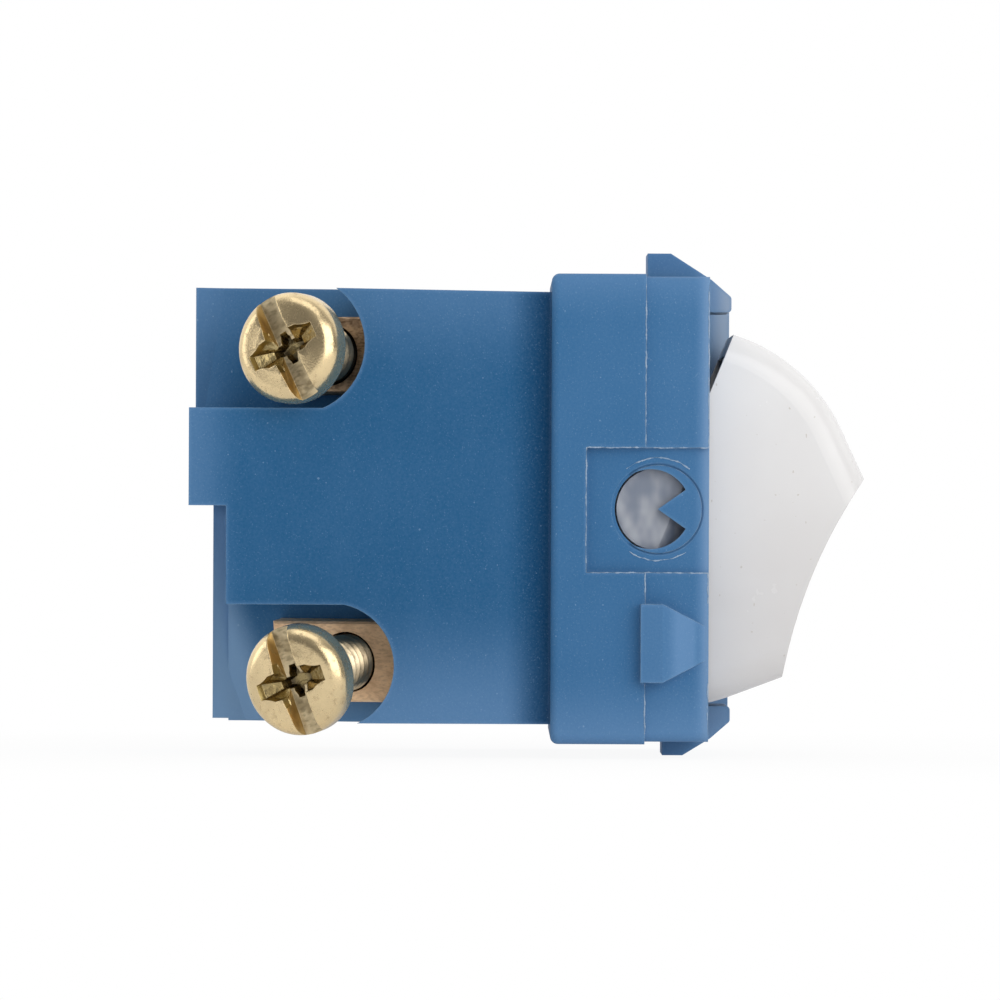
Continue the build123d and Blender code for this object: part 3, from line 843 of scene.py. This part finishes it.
@dataclass
class TerminalScrew:
    """Pan head screw with a through slot, a cross recess and a rolled thread."""

    kind: str
    side: Side
    hole_y: float
    hole_z: float
    drive_turn: float
    backed_out: float
    plate_x: float = 8.8
    head_r: float = 2.84
    head_h: float = 1.79
    edge_r: float = 0.85
    crown: float = 0.2
    shank_len: float = 7.2
    crest_r: float = 1.49
    pitch: float = 0.5
    slot_w: float = 1.34
    slot_foot_w: float = 1.0
    slot_depth: float = 0.95
    wing_len: float = 2.0
    wing_w: float = 0.84
    wing_flare: float = 1.45
    wing_shares: tuple[float, ...] = (0.90, 0.44, 0.32)
    wing_depths: tuple[float, ...] = (0.55, 0.93, 1.6)
    under_edge: float = 0.06
    undercut: float = 0.35
    thread_gap: float = 0.35
    thread_end_gap: float = 0.4
    arris_w: float = 0.045
    arris_degrees: float = 42.0
    smooth_degrees: float = 38.0
    head_steps: int = 72
    core_steps: int = 40

    @property
    def name(self) -> str:
        """The node and the body that it stands for."""
        return f"{self.kind}_screw_{self.side.word}"

    def placement(self) -> Matrix:
        """Matrix from the screw's own axes to the frame, with Z outwards along its axis."""
        joint = next(j for j in frame["joints"] if j["child"] == self.name)
        outward = -Vector(joint["axis"]).normalized()
        along = Vector((-outward.y, outward.x, 0)).normalized()
        if along.y < 0:
            along.negate()
        third = outward.cross(along)
        seat = Vector((self.side.value * self.plate_x, self.hole_y, self.hole_z)) * MM
        turn = Matrix((along, third, outward)).transposed().to_4x4()
        return Matrix.Translation(seat + outward * self.backed_out * MM) @ turn

    def head_outline(self) -> list[tuple[float, float]]:
        """Half section of the head as (radius, height), from its underside to the crown."""
        shoulder = self.head_h - self.crown
        points = [(0.0, 0.0), (self.head_r - self.under_edge, 0.0), (self.head_r, self.under_edge),
                  (self.head_r, shoulder - self.edge_r)]
        steps = 10
        flat_r = self.head_r - self.edge_r
        for i in range(1, steps + 1):
            a = math.pi / 2 * i / steps
            points.append((flat_r + self.edge_r * math.cos(a),
                           shoulder - self.edge_r * (1 - math.sin(a))))
        for i in range(1, 5):
            share = i / 4
            points.append((flat_r * (1 - share), shoulder + self.crown * (1 - (1 - share) ** 2)))
        return points

    def slot_outline(self) -> list[list[Vector]]:
        """Outlines of the slot at the crown and at its floor."""
        half_l = self.head_r + 0.5

        def ring(width: float) -> list[Vector]:
            """Corners of a rectangle as long as the slot."""
            return [Vector((x * half_l, y * width / 2))
                    for x, y in ((-1, -1), (1, -1), (1, 1), (-1, 1))]
        return [ring(self.slot_w), ring(self.slot_foot_w)]

    def cross_outline(self) -> list[list[Vector]]:
        """Outlines of the cross recess at the crown and at each lower level, with hollow sides."""
        steps = 7
        quarter = []
        for i in range(steps + 1):
            r = self.wing_len * (1 - i / steps)
            half = self.wing_w / 2 + self.wing_flare * (1 - r / self.wing_len) ** 2
            if half >= r:
                break
            quarter.append(Vector((r, half)))
        corner = Vector((1, 1)) * (self.wing_w / 2 + self.wing_flare * 0.2)
        wing = [Vector((x, -y)) for x, y in reversed(quarter)] + quarter + [corner]
        top = [Matrix.Rotation(math.radians(90 * k), 2) @ point for k in range(4) for point in wing]
        return [top] + [[point * share for point in top] for share in self.wing_shares]

    def pit_mesh(self, outlines: Sequence[list[Vector]], depths: Sequence[float]) -> Mesh:
        """Solid to cut away, through outlines from the crown to its foot.

        Args:
            outlines: The outlines, point for point, the one at the crown first.
            depths: Depth under the crown of each outline after the first.

        Returns:
            A mesh whose upper walls have material 0 and whose other faces have material 1.
        """
        over = 0.4
        turn = Matrix.Rotation(math.radians(self.drive_turn), 3, "Z")

        def build(bm: BMesh) -> None:
            """Make the two ends and the sides between the outlines."""
            crown, second = outlines[:2]
            lifted = [a + (a - b) * (over / depths[0]) for a, b in zip(crown, second)]
            levels = [(lifted, over)] + [(ring, -depth) for ring, depth in zip(outlines[1:], depths)]
            rings = [[bm.verts.new((turn @ Vector((*point, self.head_h + z))) * MM) for point in ring]
                     for ring, z in levels]
            bm.faces.new(rings[0])
            bm.faces.new(rings[-1][::-1]).material_index = 1
            for step, (high, low) in enumerate(zip(rings, rings[1:])):
                for i, point in enumerate(low):
                    j = (i + 1) % len(low)
                    bm.faces.new((point, low[j], high[j], high[i])).material_index = min(step, 1)
        return mesh_from("pit", build)

    def cutters(self, palette: Palette) -> list[Object]:
        """Slot across the head, and the cross recess.

        Args:
            palette: The finishes.

        Returns:
            The cutting objects.
        """
        pits = ((self.slot_outline(), [self.slot_depth], palette.slot_wall, palette.slot_floor),
                (self.cross_outline(), self.wing_depths, palette.cross_wall, palette.cross_floor))
        objects = []
        for outlines, depths, *materials in pits:
            mesh = self.pit_mesh(outlines, depths)
            for material in materials:
                mesh.materials.append(material)
            objects.append(mesh_object(f"{self.name}_cutter", mesh))
        return objects

    def core_outline(self) -> list[tuple[float, float]]:
        """Half section of the shank's core, with an undercut below the head and a pointed end."""
        core = self.crest_r - self.pitch / 2
        end = -self.shank_len
        return [(0.0, 0.0), (self.crest_r - 0.05, 0.0), (core, -self.undercut), (core, end + 0.3),
                (core - 0.25, end), (0.0, end)]

    def build(self, thread: GeometryTree, palette: Palette) -> Object:
        """Make the screw and put it on its body.

        Args:
            thread: Tree that makes the thread.
            palette: The finishes.

        Returns:
            The screw.
        """
        turned_head = spun_mesh(self.name + "_head", self.head_outline(), self.head_steps)
        head = mesh_object(self.name + "_blank", turned_head)
        dress(head, palette.plating)
        cutters = self.cutters(palette)
        for i, cutter in enumerate(cutters):
            cut = head.modifiers.new(f"cut_{i}", "BOOLEAN")
            cut.operation, cut.solver, cut.object = "DIFFERENCE", "EXACT", cutter
            cut.material_mode = "TRANSFER"
        arris = head.modifiers.new("arris", "BEVEL")
        arris.width, arris.segments, arris.limit_method = self.arris_w * MM, 2, "ANGLE"
        arris.angle_limit, arris.use_clamp_overlap = math.radians(self.arris_degrees), True
        head_done = evaluated_mesh(head)
        head.modifiers.clear()
        for obj in (head, *cutters):
            bpy.data.objects.remove(obj)
        height = self.shank_len - (self.thread_gap + self.thread_end_gap)
        ridge = thread.run(self.name + "_thread", palette.thread, Height=height * MM,
                           Turns=height / self.pitch, Core_Radius=(self.crest_r - self.pitch / 2) * MM,
                           Ridge=(self.pitch / 2 - 0.005) * MM)
        ridge.transform(Matrix.Translation((0, 0, -(self.shank_len - self.thread_end_gap) * MM)))
        core = spun_mesh(self.name + "_core", self.core_outline(), self.core_steps)
        core.materials.append(palette.thread)
        screw = joined(self.name + "_turned", [head_done, ridge, core],
                       [palette.plating, palette.thread, palette.slot_wall, palette.slot_floor,
                        palette.cross_wall, palette.cross_floor])
        screw.data.transform(self.placement())
        shade_by_angle(screw.data, self.smooth_degrees)
        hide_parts(self.name)
        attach(screw, self.name)
        return screw


def joined(name: str, meshes: Iterable[Mesh],
           materials: Sequence[Material]) -> Object:
    """Join meshes into one object, keeping each face's material.

    Args:
        name: The object's name.
        meshes: The meshes to join.
        materials: The object's slots, in order.

    Returns:
        The joined object.
    """
    bm = bmesh.new()
    for mesh in meshes:
        slots = [materials.index(m) if m in materials else 0 for m in mesh.materials] or [0]
        start = len(bm.faces)
        bm.from_mesh(mesh)
        bm.faces.ensure_lookup_table()
        for face in bm.faces[start:]:
            face.material_index = slots[min(face.material_index, len(slots) - 1)]
    whole = bpy.data.meshes.new(name)
    bm.to_mesh(whole)
    bm.free()
    for material in materials:
        whole.materials.append(material)
    return mesh_object(name, whole)


@dataclass
class Moulding:
    """A moulded CAD piece that keeps its shape and gets its finish."""

    node: str

    def build(self, material: Material) -> None:
        """Dress the node."""
        dress(cad_node(self.node), material)


@dataclass
class PoleMechanism:
    """What one pole holds inside, and its terminals."""

    side: Side

    def dress(self, palette: Palette) -> None:
        """Give each piece its finish.

        Args:
            palette: The finishes.
        """
        # Line terminals take the shaded copy of the brass, load terminals the lit one.
        finishes = {
            "line_terminal": palette.aged_brass, "load_terminal": palette.brass,
            "contact_arm": palette.copper, "moving_contact": palette.silver,
            "fixed_contact": palette.silver, "plunger": palette.grey,
        }
        for part, material in finishes.items():
            dress(cad_node(f"{part}_{self.side.word}"), material)


@dataclass
class PlungerSpring:
    """Compression spring that gets shorter as its plunger is pushed in."""
    # Compression spring of one pole, copied from its CAD node.

    side: Side
    pole_x: float = 4.9
    pivot_y: float = -5.46
    free_u: float = 1.5
    blind_u: float = 7.0
    travel: float = 0.8

    def build(self, material: Material) -> Object:
        """Make the spring from its CAD node and put it on the rocker's body.

        Args:
            material: Its finish.

        Returns:
            The spring.
        """
        plunger = f"plunger_{self.side.word}"
        node = cad_node(f"plunger_spring_{self.side.word}")

        def copy_node(bm: BMesh) -> None:
            """Take the node's mesh in its place."""
            bm.from_mesh(node.data)
            bmesh.ops.transform(bm, matrix=node.matrix_world, verts=bm.verts)

        spring = mesh_object(f"{node.name}_coil", mesh_from(f"{node.name}_coil", copy_node))
        shade_by_angle(spring.data)
        dress(spring, material)
        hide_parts(f"plunger_spring_{self.side.word}")
        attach(spring, "rocker")
        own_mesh(spring)
        return spring


@dataclass(frozen=True)
class SoftBox:
    """Lamp aimed at the switch: its place and size in millimetres, its power in watts."""

    name: str
    place: tuple[float, float, float]
    size: tuple[float, float]
    power: float


@dataclass
class Studio:
    """Floor, light and camera of a product photograph taken from the left side."""

    picture_px: int = 1000
    mm_per_px: float = 0.05106
    shoulder_px: float = 551.0
    pivot_row_px: float = 508.5
    side_face_x: float = -13.0
    distance: float = 600.0
    sensor: float = 36.0
    floor_drop: float = 0.03
    floor_reach: float = 3000.0
    roll: float = 0.25
    near_glow: float = 0.93
    bounce: float = 0.32
    room_level: float = 0.13
    backdrop_level: float = 0.85
    ceiling_level: float = 0.2
    lamps: tuple[SoftBox, ...] = (SoftBox("front_box", (-365, -215, 130), (500, 420), 1.5),
                                  SoftBox("rear_box", (-45, 470, 60), (250, 420), 0.5),
                                  SoftBox("top_box", (-170, 80, 490), (420, 300), 0.5))

    def build_camera(self) -> None:
        """Place the camera square to the left side, as far off as the photograph's was."""
        camera = bpy.data.cameras.new("camera")
        camera.sensor_width = self.sensor
        camera.lens = self.sensor * self.distance / (self.picture_px * self.mm_per_px)
        camera.clip_start, camera.clip_end = 0.01, 20
        obj = bpy.data.objects.new("camera", camera)
        bpy.context.scene.collection.objects.link(obj)
        centre = self.picture_px / 2
        place = Vector((self.side_face_x - self.distance, (self.shoulder_px - centre) * self.mm_per_px,
                        (self.pivot_row_px - centre) * self.mm_per_px)) * MM
        obj.location = place
        obj.rotation_euler = (math.radians(90), math.radians(-self.roll), math.radians(-90))
        bpy.context.scene.camera = obj

    def build_floor(self) -> None:
        """Wide pale floor just under the switch, white to the camera apart from the shadow."""
        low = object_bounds()[0][2] - self.floor_drop * MM
        reach = self.floor_reach * MM

        def build(bm: BMesh) -> None:
            """One wide face."""
            corners = ((-reach, -reach), (reach, -reach), (reach, reach), (-reach, reach))
            bm.faces.new([bm.verts.new((x, y, low)) for x, y in corners])

        floor = mesh_object("floor", mesh_from("floor", build))
        material = bpy.data.materials.new("pale_floor")
        material.use_nodes = True
        book = NodeBook(material.node_tree)
        book.tree.nodes.clear()
        matt = book.add("ShaderNodeBsdfDiffuse", {"Color": (0.84, 0.84, 0.84, 1)})
        glow = book.add("ShaderNodeEmission", {"Color": (1, 1, 1, 1), "Strength": 1.0})
        path = book.add("ShaderNodeLightPath").outputs
        place = book.add("ShaderNodeTexCoord").outputs["Object"]
        away = book.add("ShaderNodeVectorMath", {0: place, 1: (0, 0, low)}, operation="DISTANCE")
        open_floor = book.ramp(away.outputs["Value"], 0.02, 0.07)
        far_glow = book.maths("MULTIPLY", open_floor, 1 - self.near_glow)
        glowing = book.maths("ADD", self.near_glow, far_glow)
        unseen = book.maths("SUBTRACT", 1.0, path["Is Camera Ray"])
        bounced = book.maths("MULTIPLY", unseen, self.bounce)
        seen = book.maths("ADD", book.maths("MULTIPLY", path["Is Camera Ray"], glowing), bounced)
        mixed = book.add("ShaderNodeMixShader", {0: seen, 1: matt.outputs[0], 2: glow.outputs[0]})
        book.add("ShaderNodeOutputMaterial", {0: mixed.outputs[0]})
        dress(floor, material)
        floor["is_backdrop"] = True

    def build_world(self) -> None:
        """White to the camera; elsewhere a dim room with a white backdrop behind the switch."""
        world = bpy.data.worlds.new("studio")
        bpy.context.scene.world = world
        world.use_nodes = True
        book = NodeBook(world.node_tree)
        book.tree.nodes.clear()
        heading = book.add("ShaderNodeTexCoord").outputs["Generated"]
        parts = book.add("ShaderNodeSeparateXYZ", {0: heading}).outputs
        backdrop = book.maths("MULTIPLY", book.ramp(parts[0], -0.2, 0.4), self.backdrop_level)
        ceiling = book.maths("MULTIPLY", book.ramp(parts[2], 0.1, 1.0), self.ceiling_level)
        level = book.maths("ADD", self.room_level, book.maths("ADD", backdrop, ceiling))
        room = book.add("ShaderNodeBackground", {"Color": (1, 1, 1, 1), "Strength": level})
        white = book.add("ShaderNodeBackground", {"Color": (1, 1, 1, 1), "Strength": 1.0})
        path = book.add("ShaderNodeLightPath").outputs
        mixed = book.add("ShaderNodeMixShader", {0: path["Is Camera Ray"], 1: room.outputs[0],
                                                 2: white.outputs[0]})
        book.add("ShaderNodeOutputWorld", {0: mixed.outputs[0]})

    def build_lamp(self, box: SoftBox) -> None:
        """Place one soft box and aim it at the switch."""
        light = bpy.data.lights.new(box.name, "AREA")
        light.shape = "RECTANGLE"
        light.size, light.size_y = (length * MM for length in box.size)
        light.energy = box.power
        lamp = bpy.data.objects.new(box.name, light)
        bpy.context.scene.collection.objects.link(lamp)
        lamp.location = Vector(box.place) * MM
        lamp.rotation_euler = (-lamp.location).to_track_quat("-Z", "Y").to_euler()

    def build(self) -> None:
        """Set up the whole studio."""
        self.build_camera()
        self.build_floor()
        self.build_world()
        for box in self.lamps:
            self.build_lamp(box)
        bpy.context.scene.view_settings.view_transform = "Standard"


def facts(obj: Object) -> tuple[str, int]:
    """Name of an object and how many faces it has."""
    return obj.name, len(obj.data.polygons)


def main() -> None:
    """Build every sub-assembly in order and report it."""
    logging.basicConfig(level=logging.INFO, format="%(name)s: %(message)s")
    Studio().build()
    palette = Palette()
    for node, material in (("housing", palette.body_blue), ("front_frame", palette.frame_blue),
                           ("rocker", palette.white)):
        Moulding(node).build(material)
        log.info("%s dressed", node)
    flash = FrameFlash().build(flash_tree(), palette.flash)
    log.info("%s has %d faces", *facts(flash))
    thread = thread_tree()
    for side in Side:
        PoleMechanism(side).dress(palette)
        log.info("%s has %d faces", *facts(PlungerSpring(side).build(palette.spring)))
        line = TerminalScrew("line", side, hole_y=11.37, hole_z=7.84, drive_turn=118.0, backed_out=3.8)
        load = TerminalScrew("load", side, hole_y=10.42, hole_z=-7.93, drive_turn=107.0, backed_out=5.1)
        for screw in (line, load):
            log.info("%s has %d faces", *facts(screw.build(thread, palette)))


if __name__ == "__main__":
    main()
